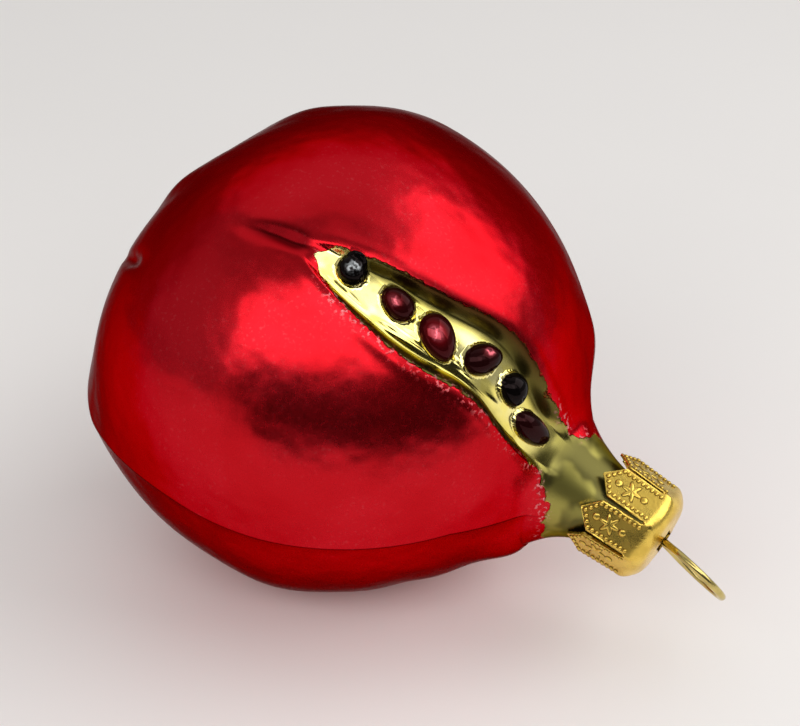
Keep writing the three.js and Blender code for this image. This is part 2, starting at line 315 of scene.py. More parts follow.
def made_plain(piece: bpy.types.Object) -> bpy.types.Object:
    """Replace an object by a mesh object with its modifiers worked in.

    Args:
        piece: The object with modifiers.

    Returns:
        The new mesh object, which takes over the name.
    """
    graph = bpy.context.evaluated_depsgraph_get()
    shaped = piece.evaluated_get(graph)
    mesh = bpy.data.meshes.new_from_object(shaped, preserve_all_data_layers=True, depsgraph=graph)
    name = piece.name
    bpy.data.objects.remove(piece)
    plain = bpy.data.objects.new(name, mesh)
    mesh.name = name
    bpy.context.collection.objects.link(plain)
    return plain


def grid_quads(rows: int, columns: int, closed: bool) -> np.ndarray:
    """Return the faces of a grid of points, row by row.

    Args:
        rows: Points along the first direction.
        columns: Points along the second direction.
        closed: Whether the last column joins the first.

    Returns:
        An array of quads.
    """
    across = np.arange(columns if closed else columns - 1)
    after = (across + 1) % columns
    base = np.arange(rows - 1)[:, None] * columns
    quads = np.stack([base + across, base + after, base + columns + after, base + columns + across], axis=-1)
    return quads.reshape(-1, 4)


def mesh_piece(name: str, points: np.ndarray, faces: Sequence[Sequence[int]]) -> bpy.types.Object:
    """Make a mesh object at the origin.

    Args:
        name: The object's name.
        points: Places in metres.
        faces: Corner numbers of each face.

    Returns:
        The new object.
    """
    mesh = bpy.data.meshes.new(name)
    mesh.from_pydata([tuple(point) for point in points], [], [tuple(face) for face in faces])
    mesh.update()
    piece = bpy.data.objects.new(name, mesh)
    bpy.context.collection.objects.link(piece)
    return piece


def curve_piece(name: str, lines: Sequence[np.ndarray]) -> bpy.types.Object:
    """Make a curve object of straight-sided lines.

    Args:
        name: The object's name.
        lines: Points of each line, in metres.

    Returns:
        The new object.
    """
    curve = bpy.data.curves.new(name, "CURVE")
    curve.dimensions = "3D"
    for line in lines:
        spline = curve.splines.new("POLY")
        spline.points.add(len(line) - 1)
        spline.points.foreach_set("co", np.c_[line, np.ones(len(line))].ravel())
    piece = bpy.data.objects.new(name, curve)
    bpy.context.collection.objects.link(piece)
    return piece


def placed(points: np.ndarray, place: Matrix) -> np.ndarray:
    """Return points moved by a matrix.

    Args:
        points: An array of places, one per row.
        place: A four by four matrix.

    Returns:
        The moved places.
    """
    matrix = np.array(place)
    return points @ matrix[:3, :3].T + matrix[:3, 3]


def smooth_step(value: np.ndarray, low: float, high: float) -> np.ndarray:
    """Return a smooth step from 0 at low to 1 at high."""
    share = np.clip((value - low) / (high - low), 0.0, 1.0)
    return share * share * (3.0 - 2.0 * share)


def wrapped(degrees: np.ndarray) -> np.ndarray:
    """Return angles brought to the half turn either side of zero."""
    return (degrees + 180.0) % 360.0 - 180.0


@dataclass(frozen=True)
class Lie:
    """How the ornament lies: its centre, the slope of its axis and the turn of its split."""

    cap_reach: float = 59.518
    cap_side: float = 0.2215
    cap_drop: float = 25.437
    axis_slope: float = 17.88
    split_turn: float = -142.53

    def centre(self) -> Vector:
        """Return the middle of the body's equator, from the box of the cap's solid."""
        low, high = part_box("cap")
        side = 0.5 * (low[1] + high[1])
        return Vector((high[0] - self.cap_reach * MM, side - self.cap_side * MM, low[2] + self.cap_drop * MM))

    def matrix(self) -> Matrix:
        """Return the step from the ornament's own axes, in millimetres, to the frame."""
        lay = Matrix.Rotation(math.pi / 2 + math.radians(self.axis_slope), 4, "Y")
        turn = Matrix.Rotation(math.radians(self.split_turn), 4, "Z")
        return Matrix.Translation(self.centre()) @ lay @ turn @ Matrix.Scale(MM, 4)


@dataclass(frozen=True)
class BlownForm:
    """The plain form of the glass before its relief, in millimetres from the equator."""

    body_radius: float = 38.0
    far_depth: float = 32.9
    near_depth: float = 41.9
    neck_radius: float = 5.4
    neck_flare: float = 0.5
    flare_end: float = 50.5
    flare_softness: float = 1.5
    neck_fillet: float = 3.0
    rim_height: float = 59.2
    lean: float = 4.5
    lean_toward: float = 104.0

    def radius(self, height: np.ndarray) -> np.ndarray:
        """Return the radius at heights along the axis."""
        depth = np.where(height < 0, self.far_depth, self.near_depth)
        body = self.body_radius * np.sqrt(np.clip(1 - (height / depth) ** 2, 0, None))
        flare = np.log1p(np.exp((self.flare_end - height) / self.flare_softness))
        neck = self.neck_radius + self.neck_flare * self.flare_softness * flare
        blended = 0.5 * (body + neck + np.hypot(body - neck, self.neck_fillet))
        share = smooth_step(height, self.body_radius / 2, self.near_depth * 0.8)
        return body + (blended - body) * share

    def outline(self) -> tuple[np.ndarray, np.ndarray, np.ndarray]:
        """Return the outline from the far pole to the rim.

        Returns:
            Distances along the outline from the equator, heights and radii.
        """
        turn = np.linspace(-math.pi / 2, math.radians(76), 900)
        bowl = np.sin(turn) * np.where(turn < 0, self.far_depth, self.near_depth)
        height = np.concatenate([bowl, np.linspace(bowl[-1], self.rim_height, 300)[1:]])
        radius = self.radius(height)
        along = np.concatenate([[0.0], np.cumsum(np.hypot(np.diff(height), np.diff(radius)))])
        return along - np.interp(0.0, height, along), height, radius


@dataclass(frozen=True)
class Seed:
    """One raised seed: its place along and across the split, half sizes, turn, taper, tone and the spot of its
    painted highlight.
    """

    along: float
    across: float
    length: float
    width: float
    turn: float
    taper: float
    tone: SeedTone
    # where the painted highlight sits on the seed and how wide it is, in half sizes
    highlight_spot: tuple[float, float, float] = (-0.3, 0.2, 0.45)

    def shares(self, along: Field, across: Field) -> tuple[Field, Field]:
        """Return the places along and across the seed, in half sizes from its middle."""
        turn = math.radians(self.turn)
        x = along - self.along
        y = across - self.across
        u = (x * math.cos(turn) + y * math.sin(turn)) / self.length
        v = (y * math.cos(turn) - x * math.sin(turn)) / self.width
        return u, v / (u * self.taper + 1.0).maximum(0.3)

    def inside(self, along: Field, across: Field) -> Field:
        """Return a field that is 1 in the seed's middle, 0 on its edge and negative outside."""
        u, v = self.shares(along, across)
        return 1.0 - (u * u + v * v)

    def painted_highlight(self, along: Field, across: Field) -> Field:
        """Return the weight of the painted highlight, a lighter patch painted on the seed."""
        u, v = self.shares(along, across)
        first, second, size = self.highlight_spot
        return ((u - first) / size).bell() * ((v - second) / size).bell()


@dataclass(frozen=True)
class Swelling:
    """A soft bump or dent of the hand-blown wall."""

    along: float
    angle: float
    length: float
    spread: float
    height: float

    def rise(self, along: Field, angle: Field) -> Field:
        """Return the height of the bump."""
        turned = (angle - self.angle + 540.0).math("MODULO", 360.0) - 180.0
        return ((along - self.along) / self.length).bell() * (turned / self.spread).bell() * self.height


@dataclass(frozen=True)
class Seam:
    """A mould seam: a low ridge, steeper on its outer side, that may drift along the body."""

    name: str
    angle: float
    height: float
    side: float
    far_drift: float = 0.0
    neck_drift: float = 0.0
    far_length: float = 24.0
    neck_length: float = 40.0
    long_slope: float = 5.0
    short_slope: float = 2.5
    drift_core: float = 5.0
    drift_reach: float = 35.0

    def drift(self, along: np.ndarray) -> np.ndarray:
        """Return how far the seam has turned at distances along the body, in degrees."""
        far = np.clip(-along, 0.0, self.far_length)
        near = np.clip(along, 0.0, self.neck_length)
        return self.far_drift * far**2 + self.neck_drift * near**2

    def carried(self, angles: np.ndarray, along: np.ndarray) -> np.ndarray:
        """Return columns of angles with those near the seam moved along with its drift."""
        share = 1.0 - smooth_step(np.abs(wrapped(angles - self.angle)), self.drift_core, self.drift_reach)
        return angles + share * self.drift(along)

    def outward(self, angles: np.ndarray, along: np.ndarray, radius: np.ndarray) -> np.ndarray:
        """Return the distance from the seam, positive on its outer side."""
        return self.side * radius * np.radians(wrapped(angles - self.angle - self.drift(along)))

    def rise(self, outward: Field) -> Field:
        """Return the height of the ridge at a distance from it."""
        steep = (outward / self.short_slope).maximum(outward / -self.long_slope)
        return (steep * -1.0).math("EXPONENT") * self.height


@dataclass(frozen=True)
class Fold:
    """A long soft wrinkle of the split's gilded floor."""

    start: float
    end: float
    across: float
    drift: float
    width: float
    height: float

    def rise(self, along: Field, across: Field) -> Field:
        """Return the height of the wrinkle."""
        middle = 0.5 * (self.start + self.end)
        share = (along - self.start) / (self.end - self.start)
        ends = along.step(self.start, middle) * (1.0 - along.step(middle, self.end))
        return ((across - share * self.drift - self.across) / self.width).bell() * ends * self.height


SEEDS = (
    Seed(8.1, -1.9, 2.3, 2.3, 0.0, 0.0, SeedTone.BLACK, (0.0, 0.0, 0.6)),
    Seed(16.3, -1.7, 3.0, 2.2, 14.0, 0.1, SeedTone.GARNET, (-0.25, 0.3, 0.4)),
    Seed(24.1, -1.3, 3.9, 2.7, 31.0, -0.15, SeedTone.RED, (-0.2, 0.25, 0.42)),
    Seed(31.9, -3.2, 3.4, 2.5, -50.0, -0.1, SeedTone.MAROON, (0.1, -0.45, 0.3)),
    Seed(39.6, -3.0, 2.9, 2.4, 40.0, -0.2, SeedTone.BLACK, (0.5, -0.1, 0.3)),
    Seed(47.1, -0.8, 4.0, 2.25, -4.0, 0.0, SeedTone.MAROON, (0.2, -0.7, 0.25)),
)
SWELLINGS = (
    Swelling(51.0, 112.0, 5.0, 36.0, 2.5),
    Swelling(33.0, 108.0, 4.0, 20.0, -0.55),
    Swelling(13.0, 103.0, 8.0, 22.0, 0.95),
    Swelling(-27.0, 86.0, 9.0, 13.0, 1.0),
    Swelling(40.0, -84.0, 5.0, 16.0, 0.75),
    Swelling(52.5, -88.0, 3.0, 28.0, 0.5),
    Swelling(-18.5, -52.0, 5.0, 8.0, 0.6),
    Swelling(-27.0, -41.0, 3.0, 6.0, -0.6),
    Swelling(-34.0, -22.0, 6.0, 8.0, 0.65),
    Swelling(-33.0, 18.0, 6.0, 3.2, -1.4),
)
FOLDS = (
    Fold(13.0, 27.0, 2.6, -0.9, 0.5, 0.45),
    Fold(16.0, 36.0, 1.5, -2.0, 0.6, 0.45),
    Fold(22.0, 44.0, 0.6, 0.4, 0.7, 0.4),
    Fold(3.0, 14.0, 0.9, 1.2, 0.45, 0.3),
    Fold(9.0, 22.0, -3.9, 0.6, 0.5, 0.35),
    Fold(40.0, 54.0, 2.9, 0.3, 0.55, 0.3),
)
LOW_SEAM = Seam("low_seam", 69.0, 0.6, 1.0, 0.021, -0.0068)
HIGH_SEAM = Seam("high_seam", -76.0, 0.35, -1.0)


@dataclass(frozen=True)
class Split:
    """The opened split: its ends, width, depth and lips, in millimetres along the surface."""

    tip: float = -0.5
    end: float = 62.0
    half_width: float = 6.0
    offset: float = -0.6
    sway: float = -2.3
    sway_centre: float = 33.0
    sway_length: float = 9.0

    def half(self, along: Field) -> Field:
        """Return half the width of the split."""
        share = ((along - self.tip) / (self.end - self.tip)).math("ADD", 0.0, clamp=True)
        return (share * math.pi).math("SINE").power(0.6) * self.half_width

    def middle(self, along: Field) -> Field:
        """Return the middle line of the split."""
        return ((along - self.sway_centre) / self.sway_length).bell() * self.sway + self.offset


class GlassPaint:
    """Names of the attributes that carry the painting from the form to the finish, painted shade, shadow and
    highlights among them.
    """

    EDGE = "paint_edge"
    SEED = "seed_inside"
    TONE = "seed_tone"
    # weight of the painted highlights on the seeds
    PAINTED_HIGHLIGHT = "seed_painted_highlight"
    ALONG = "along"
    SIDE = "split_side"
    # mask of the painted shade along the seams' steps
    SEAM = "seam_shade"
    # mask of the painted shadow beside the crease
    CREASE_SHADOW = "crease_shadow"


@dataclass
class GlassBody:
    """The blown glass: the plain form, raised by a rule into split, seeds and seams."""

    lie: Lie
    form: BlownForm = field(default_factory=BlownForm)
    split: Split = field(default_factory=Split)
    wall: float = 1.0
    split_depth: float = 2.2
    lip_height: float = 0.2
    lip_width: float = 1.1
    seed_rise: float = 2.5
    seam_line_width: float = 0.13
    crease_depth: float = 0.7
    crease_width: float = 1.2
    crease_offset: float = -0.65
    shadow_shift: float = 0.6
    shadow_width: float = 1.7
    crease_slant: float = -0.13
    neck_paint: float = 57.0
    neck_spread: float = 35.0
    neck_lead: float = 6.0
    split_full: float = 10.0
    split_fade: Span = (46.0, 56.0)
    floor_edge: Span = (0.68, 1.02)
    lip_full: float = 6.0
    crease_start: Span = (-13.0, -1.0)
    crease_end: Span = (-1.0, 3.0)
    seam_start: Span = (-54.0, -46.0)
    seam_end: Span = (50.0, 58.0)
    high_seam_line: float = 0.6
    tip_paint: Span = (-1.0, 5.0)
    tip_cover: float = 4.5
    low_tip_paint: Span = (1.0, 10.0)
    low_tip_cover: float = 1.2

    def rows(self) -> tuple[np.ndarray, np.ndarray]:
        """Return the distance along the outline and the depth in the wall of each row of points."""
        along, _, _ = self.form.outline()
        far, rim = along[0], along[-1]
        outer = [
            np.linspace(far, -14, 44, endpoint=False),
            np.arange(-14, 58, 0.42),
            np.linspace(58, rim, 24),
        ]
        inner = [np.linspace(rim, 0, 20), np.linspace(-3, far, 10)]
        depths = [np.zeros(sum(map(len, outer))), np.full(sum(map(len, inner)), self.wall)]
        return np.concatenate(outer + inner), np.concatenate(depths)

    def columns(self) -> np.ndarray:
        """Return the angles of the columns of points, close together across the split and at the seams."""
        low, high = LOW_SEAM.angle, 360.0 + HIGH_SEAM.angle
        runs = ((-34.0, 24.0, 0.36), (24.0, low - 10, 2.0), (low - 10, low - 3, 1.0),
                (low - 3, low + 3, 0.22),
                (low + 3, low + 10, 1.0), (low + 10, high - 10, 2.6), (high - 10, high - 2, 1.0),
                (high - 2, high + 2, 0.3), (high + 2, high + 10, 1.0), (high + 10, 326.0, 2.0))
        return np.concatenate([np.linspace(a, b, round((b - a) / gap), endpoint=False) for a, b, gap in runs])

    def plain_mesh(self) -> bpy.types.Object:
        """Make the plain form as a mesh that carries its own surface coordinates.

        Returns:
            A mesh object with the attributes along, across, angle, depth and plain_normal.
        """
        line, height, radius = self.form.outline()
        rows, depths = self.rows()
        angles = self.columns()
        tangent_height = np.interp(rows, line, np.gradient(height, line))
        tangent_radius = np.interp(rows, line, np.gradient(radius, line))
        shape = (len(rows), len(angles))
        level = np.broadcast_to(np.interp(rows, line, height)[:, None], shape)
        reach = np.broadcast_to(np.interp(rows, line, radius)[:, None], shape)
        degrees = LOW_SEAM.carried(np.broadcast_to(angles, shape), rows[:, None])
        turn = np.radians(degrees)
        points = np.stack([reach * np.cos(turn), reach * np.sin(turn), level], axis=-1)
        lean = np.where(level < 0, self.form.lean * (level / self.form.far_depth) ** 2, 0.0)
        toward = math.radians(self.form.lean_toward)
        points = points + lean[..., None] * np.array([math.cos(toward), math.sin(toward), 0.0])
        out = tangent_height[:, None]
        tilt = np.broadcast_to(-tangent_radius[:, None], shape)
        normals = np.stack([out * np.cos(turn), out * np.sin(turn), tilt], axis=-1)
        place = self.lie.matrix()
        quads = grid_quads(*shape, closed=True)
        piece = mesh_piece("glass_body_form", placed(points.reshape(-1, 3), place), quads)
        values = {
            "along": np.broadcast_to(rows[:, None], shape),
            "across": reach * np.radians(wrapped(degrees)),
            "angle": wrapped(degrees),
            "depth": np.broadcast_to(depths[:, None], shape),
        }
        for seam in (LOW_SEAM, HIGH_SEAM):
            values[seam.name] = seam.outward(degrees, rows[:, None], reach)
        for name, value in values.items():
            layer = piece.data.attributes.new(name, "FLOAT", "POINT")
            layer.data.foreach_set("value", np.ascontiguousarray(value, dtype=np.float32).ravel())
        turned = normals.reshape(-1, 3) @ np.array(place.to_3x3().normalized()).T
        layer = piece.data.attributes.new("plain_normal", "FLOAT_VECTOR", "POINT")
        layer.data.foreach_set("vector", turned.astype(np.float32).ravel())
        return piece

    def relief_sheet(self, finish: bpy.types.Material) -> GeometrySheet:
        """Build the rule that raises the relief and stores the painting, with the masks of its painted shade,
        shadow and highlights.

        Args:
            finish: The material of the glass.

        Returns:
            The finished geometry tree.
        """
        sheet = GeometrySheet("blown_relief", {
            "Split depth": self.split_depth,
            "Lip height": self.lip_height,
            "Lip width": self.lip_width,
            "Seed rise": self.seed_rise,
            "Seam line width": self.seam_line_width,
            "Crease depth": self.crease_depth,
            "Crease width": self.crease_width,
            "Wall": self.wall,
        })
        along = sheet.field(sheet.attribute("along"))
        across = sheet.field(sheet.attribute("across"))
        angle = sheet.field(sheet.attribute("angle"))
        depth = sheet.field(sheet.attribute("depth"))
        outside = 1.0 - depth / sheet.size("Wall")
        half = self.split.half(along).maximum(0.05)
        side = across - self.split.middle(along)
        edge = side.abs() - half
        fade = 1.0 - along.step(*self.split_fade)
        ends = along.step(self.split.tip, self.split_full) * fade
        bowl = (1.0 - (side.abs() / half).step(*self.floor_edge)) * ends
        wall_relief = bowl * sheet.size("Split depth") * -1.0
        for bump in SWELLINGS:
            wall_relief = wall_relief + bump.rise(along, angle)
        inside, tone, painted_highlight = self.seed_fields(along, across)
        rise = inside.power(0.5) * sheet.size("Seed rise")
        for fold in FOLDS:
            rise = rise.maximum(fold.rise(along, across) * bowl)
        lips = ((edge - sheet.size("Lip width")) / sheet.size("Lip width")).bell()
        lips = lips * sheet.size("Lip height") * along.step(self.split.tip, self.lip_full) * fade
        beside = across - self.crease_offset - along * self.crease_slant
        crease_ends = along.step(*self.crease_start) * (1.0 - along.step(*self.crease_end))
        crease = (beside / sheet.size("Crease width")).bell() * crease_ends
        # painted shadow: a dark band beside the crease, stored for the finish
        shadow = ((beside + self.shadow_shift) / self.shadow_width).bell() * crease_ends
        seam_ends = along.step(*self.seam_start) * (1.0 - along.step(*self.seam_end))
        low, high = (sheet.field(sheet.attribute(seam.name)) for seam in (LOW_SEAM, HIGH_SEAM))
        ridges = (LOW_SEAM.rise(low) + HIGH_SEAM.rise(high)) * seam_ends
        skin = rise + lips - crease * sheet.size("Crease depth") + ridges
        relief = wall_relief - depth + skin * outside
        self.move_out(sheet, relief, depth)
        merge = sheet.add("GeometryNodeMergeByDistance")
        merge.inputs["Distance"].default_value = MM * 0.01
        sheet.pass_through(merge)
        closed = (1.0 - along.step(*self.tip_paint)) * self.tip_cover
        low_tip = (1.0 - along.step(*self.low_tip_paint)) * side.step(0.0, self.low_tip_cover)
        closed = closed + low_tip * self.low_tip_cover
        neck = (angle / self.neck_spread).bell() * -self.neck_lead + self.neck_paint - along
        sheet.store(GlassPaint.EDGE, (edge + closed).minimum(neck))
        sheet.store(GlassPaint.SEED, inside)
        sheet.store(GlassPaint.TONE, tone)
        sheet.store(GlassPaint.PAINTED_HIGHLIGHT, painted_highlight)
        sheet.store(GlassPaint.SIDE, side / half * ends)
        # painted shade: a thin dark line along each seam's step
        thin = sheet.size("Seam line width")
        line = (low / thin).bell().maximum((high / thin).bell() * self.high_seam_line)
        sheet.store(GlassPaint.SEAM, line * seam_ends)
        sheet.store(GlassPaint.CREASE_SHADOW, shadow)
        sheet.close(finish)
        return sheet

    def seed_fields(self, along: Field, across: Field) -> tuple[Field, Field, Field]:
        """Return how far inside a seed each point is, the tone of the seed there and the weight of its painted
        highlight.
        """
        fields = [seed.inside(along, across) for seed in SEEDS]
        inside = fields[0]
        tone = fields[0].step(-0.3, -0.2) * SEEDS[0].tone.value
        painted_highlight = SEEDS[0].painted_highlight(along, across)
        for seed, value in zip(SEEDS[1:], fields[1:]):
            inside = inside.maximum(value)
            tone = tone + value.step(-0.3, -0.2) * seed.tone.value
            painted_highlight = painted_highlight.maximum(seed.painted_highlight(along, across))
        return inside, tone, painted_highlight

    def move_out(self, sheet: GeometrySheet, relief: Field, depth: Field) -> None:
        """Move each point out by its relief, and flatten the wall where it rests."""
        scale = sheet.add("ShaderNodeVectorMath", operation="SCALE")
        sheet.link(sheet.attribute("plain_normal", "FLOAT_VECTOR"), scale.inputs[0])
        (relief * MM).feed(scale.inputs["Scale"])
        move = sheet.pass_through(sheet.add("GeometryNodeSetPosition"))
        sheet.link(scale.outputs["Vector"], move.inputs["Offset"])
        parts = sheet.add("ShaderNodeSeparateXYZ")
        sheet.link(sheet.add("GeometryNodeInputPosition").outputs["Position"], parts.inputs[0])
        joined = sheet.add("ShaderNodeCombineXYZ")
        sheet.link(parts.outputs["X"], joined.inputs["X"])
        sheet.link(parts.outputs["Y"], joined.inputs["Y"])
        sheet.field(parts.outputs["Z"]).maximum(depth * MM).feed(joined.inputs["Z"])
        seat = sheet.pass_through(sheet.add("GeometryNodeSetPosition"))
        sheet.link(joined.outputs["Vector"], seat.inputs["Position"])

    def build(self, finish: bpy.types.Material) -> bpy.types.Object:
        """Make the glass body.

        Args:
            finish: The material of the glass.

        Returns:
            The finished piece.
        """
        piece = self.relief_sheet(finish).apply_to(self.plain_mesh())
        piece.name = "glass_skin"
        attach(piece, ROOT_BODY)
        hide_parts("glass_body")
        return piece


PATINA = "patina"


@dataclass(frozen=True)
class Boss:
    """One raised boss of the embossing: a round bead or dot, or a star with arms."""

    drop: float
    across: float
    radius: float
    height: float
    arms: int = 0

    def rings(self) -> tuple[np.ndarray, np.ndarray]:
        """Return the rings of points from the foot to the top, and how dark each point is."""
        steps = np.array([
            [1.28, -0.15, 1.0],
            [1.06, 0.08, 1.0],
            [0.94, 0.6, 0.2],
            [0.68, 0.92, 0.0],
            [0.0, 1.0, 0.0],
        ])
        turn = np.linspace(0.0, 2 * math.pi, 8 * max(1, self.arms), endpoint=False)
        lobes = 0.73 + 0.27 * np.cos(self.arms * turn) if self.arms else np.ones(turn.shape)
        reach = self.radius * lobes * steps[:, :1]
        height = np.broadcast_to(self.height * steps[:, 1:2], reach.shape)
        down = self.drop + reach * np.cos(turn)
        aside = self.across + reach * np.sin(turn)
        points = np.stack([down, aside, height], axis=-1)
        return points, np.array(np.broadcast_to(steps[:, 2:], reach.shape))


@dataclass
class PressedCap:
    """The pressed sheet cap: an octagon with pointed tabs, a round shoulder and embossed ornament."""

    lie: Lie
    form: BlownForm = field(default_factory=BlownForm)
    sheet: float = 0.4
    gap: float = 1.1
    dome: float = 0.4
    apothem: float = 7.4
    flare: float = 0.5
    shoulder: float = 2.6
    tabs: int = 8
    tab_width: float = 5.5
    tab_straight: float = 7.0
    tab_point: float = 2.4
    slot_width: float = 4.8
    slot_depth: float = 3.4
    facing: float = 14.0
    tilt: float = 3.0
    spin: float = 17.5
    hanger_turn: float = -5.0
    bead_radius: float = 0.34
    bead_height: float = 0.26
    border_inset: float = 0.62
    border_start: float = 0.5
    side_beads: int = 9
    gable_beads: int = 3
    star_radius: float = 1.6
    star_height: float = 0.2
    star_arms: int = 6
    star_place: float = 0.47
    dot_radius: float = 0.58
    dot_shift: float = 2.25

    def seat(self) -> Matrix:
        """Return the step from the cap's tilted axes, with the fold at height zero, to the frame."""
        height = self.form.rim_height + self.gap + self.sheet - self.shoulder
        turn = Matrix.Rotation(math.radians(self.facing), 4, "Z")
        lean = Matrix.Rotation(-math.radians(self.tilt), 4, "X")
        return self.lie.matrix() @ Matrix.Translation((0, 0, height)) @ turn @ lean

    def spun(self) -> Matrix:
        """Return the step from the cap with its first tab along X to the frame."""
        return self.seat() @ Matrix.Rotation(math.radians(self.spin), 4, "Z")

    def tab_length(self) -> float:
        """Return the length of a tab from the fold to its point."""
        return self.tab_straight + self.tab_point

    def half_width(self, drop: np.ndarray) -> np.ndarray:
        """Return half the tab's width at distances below the fold."""
        full = self.tab_width / 2
        point = np.clip((self.tab_length() - drop) / self.tab_point, 0.04, 1.0) * full
        side = self.apothem * math.tan(math.pi / self.tabs)
        return point + (side - full) * (1.0 - smooth_step(drop, 0.0, 0.7))

    def tab_points(self, across: np.ndarray, drop: np.ndarray) -> np.ndarray:
        """Return places on the outer face of the first tab.

        Args:
            across: Distances from the tab's middle line.
            drop: Distances below the fold.

        Returns:
            The places on the cap's own axes.
        """
        slope = math.atan(self.flare / self.tab_length())
        out = self.apothem + drop * math.sin(slope)
        return np.stack([out, across, -drop * math.cos(slope)], axis=-1)

    def sector(self) -> np.ndarray:
        """Return the grid of points of one tab with its share of the shoulder and the end."""
        share = np.linspace(-1.0, 1.0, 17)
        drops = np.concatenate([np.linspace(self.tab_length(), self.tab_straight, 7)[:-1],
                                np.linspace(self.tab_straight, 0.7, 12)[:-1], np.linspace(0.7, 0.0, 6)])
        rows = []
        for drop in drops:
            wide = self.half_width(np.array(drop))
            rows.append(self.tab_points(share * wide, np.full(share.shape, drop)))
        half = math.pi / self.tabs
        for turn in np.linspace(0, math.pi / 2, 10)[1:]:
            radius = self.apothem - self.shoulder * (1 - math.cos(turn))
            rows.append(self.ring_row(share, radius, self.shoulder * math.sin(turn), half))
        inner = self.apothem - self.shoulder
        for radius in np.linspace(inner, 0.0, 9)[1:]:
            dome_level = self.shoulder + self.dome * (1 - (radius / inner) ** 2)
            rows.append(self.ring_row(share, radius, dome_level, half))
        return np.stack(rows)

    def ring_row(self, share: np.ndarray, radius: float, height: float, half: float) -> np.ndarray:
        """Return one row of the shoulder, which turns from an octagon to a circle as it rises."""
        flat = np.stack([np.full(share.shape, radius), radius * math.tan(half) * share], axis=-1)
        arc = radius * np.stack([np.cos(half * share), np.sin(half * share)], axis=-1)
        weight = float(smooth_step(np.array(height), 0.0, self.shoulder))
        plan = flat * (1 - weight) + arc * weight
        return np.c_[plan, np.full(share.shape, height)]

    def build_sheet(self, finish: bpy.types.Material) -> bpy.types.Object:
        """Make the cap's sheet with its slot.

        Args:
            finish: The material of the cap.

        Returns:
            The finished piece.
        """
        grid = self.sector()
        rows, columns, _ = grid.shape
        quads = grid_quads(rows, columns, closed=False)
        points, faces = [], []
        for number in range(self.tabs):
            turn = Matrix.Rotation(2 * math.pi * number / self.tabs, 4, "Z")
            points.append(placed(grid.reshape(-1, 3), self.spun() @ turn))
            faces.append(quads + number * rows * columns)
        piece = mesh_piece("cap_sheet", np.concatenate(points), np.concatenate(faces))
        weld = piece.modifiers.new("weld", "WELD")
        weld.merge_threshold = 0.01 * MM
        thick = piece.modifiers.new("sheet", "SOLIDIFY")
        thick.thickness = self.sheet * MM
        thick.offset = -1.0
        cutter = self.slot_cutter()
        cut = piece.modifiers.new("slot", "BOOLEAN")
        cut.object = cutter
        cut.solver = "EXACT"
        round_edges = piece.modifiers.new("edges", "BEVEL")
        round_edges.width = 0.07 * MM
        round_edges.segments = 2
        round_edges.limit_method = "ANGLE"
        round_edges.angle_limit = math.radians(50)
        plain = made_plain(piece)
        bpy.data.objects.remove(cutter)
        plain.data.materials.clear()
        plain.data.materials.append(finish)
        plain.data.shade_smooth()
        self.attach(plain, replaces=True)
        return plain

    def slot_cutter(self) -> bpy.types.Object:
        """Make the block that cuts the wire's slot in the end."""
        half = np.array([self.slot_width, self.slot_depth, self.shoulder]) / 2
        signs = np.array([[x, y, z] for z in (-1, 1) for y in (-1, 1) for x in (-1, 1)])
        turn = self.seat() @ Matrix.Rotation(math.radians(self.hanger_turn), 4, "Z")
        corners = placed(signs * half + np.array([0, 0, self.shoulder]), turn)
        faces = [(0, 2, 3, 1), (4, 5, 7, 6), (0, 1, 5, 4), (2, 6, 7, 3), (0, 4, 6, 2), (1, 3, 7, 5)]
        return mesh_piece("slot_block", corners, faces)

    def attach(self, piece: bpy.types.Object, replaces: bool) -> None:
        """Tell the frame what a piece of the cap is."""
        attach(piece, ROOT_BODY)
        if replaces:
            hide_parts("cap")

    def tab_frames(self) -> list[Matrix]:
        """Return the steps from each tab's face, with down, across and outward axes, to the frame."""
        slope = math.atan(self.flare / self.tab_length())
        low, out = math.sin(slope), math.cos(slope)
        face = Matrix(((low, 0, out, self.apothem), (0, 1, 0, 0), (-out, 0, low, 0), (0, 0, 0, 1)))
        turns = [Matrix.Rotation(2 * math.pi * number / self.tabs, 4, "Z") for number in range(self.tabs)]
        return [self.spun() @ turn @ face for turn in turns]

    def bosses(self) -> list[Boss]:
        """Return the beads, the star and the dots of one tab."""
        side = self.tab_width / 2 - self.border_inset
        apex = self.tab_length() - 1.35 * self.border_inset
        places = [(drop, side) for drop in np.linspace(self.border_start, self.tab_straight, self.side_beads)]
        for share in np.linspace(0.0, 1.0, self.gable_beads + 1)[1:-1]:
            places.append((self.tab_straight + (apex - self.tab_straight) * share, side * (1.0 - share)))
        places += [(drop, -across) for drop, across in places]
        spots = [*places, (apex, 0.0)]
        beads = [Boss(drop, across, self.bead_radius, self.bead_height) for drop, across in spots]
        middle = self.star_place * self.tab_length()
        shifts = (-self.dot_shift, self.dot_shift)
        dots = [Boss(middle + shift, 0.0, self.dot_radius, self.star_height) for shift in shifts]
        return [*beads, *dots, Boss(middle, 0.0, self.star_radius, self.star_height, self.star_arms)]

    def pattern(self) -> bpy.types.Object:
        """Make the embossing of one tab, flat on the tab's own axes."""
        points, faces, worn, first = [], [], [], 0
        for boss in self.bosses():
            rings, patina = boss.rings()
            points.append(rings.reshape(-1, 3))
            faces.append(grid_quads(*rings.shape[:2], closed=True) + first)
            worn.append(patina.ravel())
            first += patina.size
        piece = mesh_piece("tab_pattern", np.concatenate(points) * MM, np.concatenate(faces))
        layer = piece.data.attributes.new(PATINA, "FLOAT", "POINT")
        layer.data.foreach_set("value", np.concatenate(worn).astype(np.float32))
        return piece

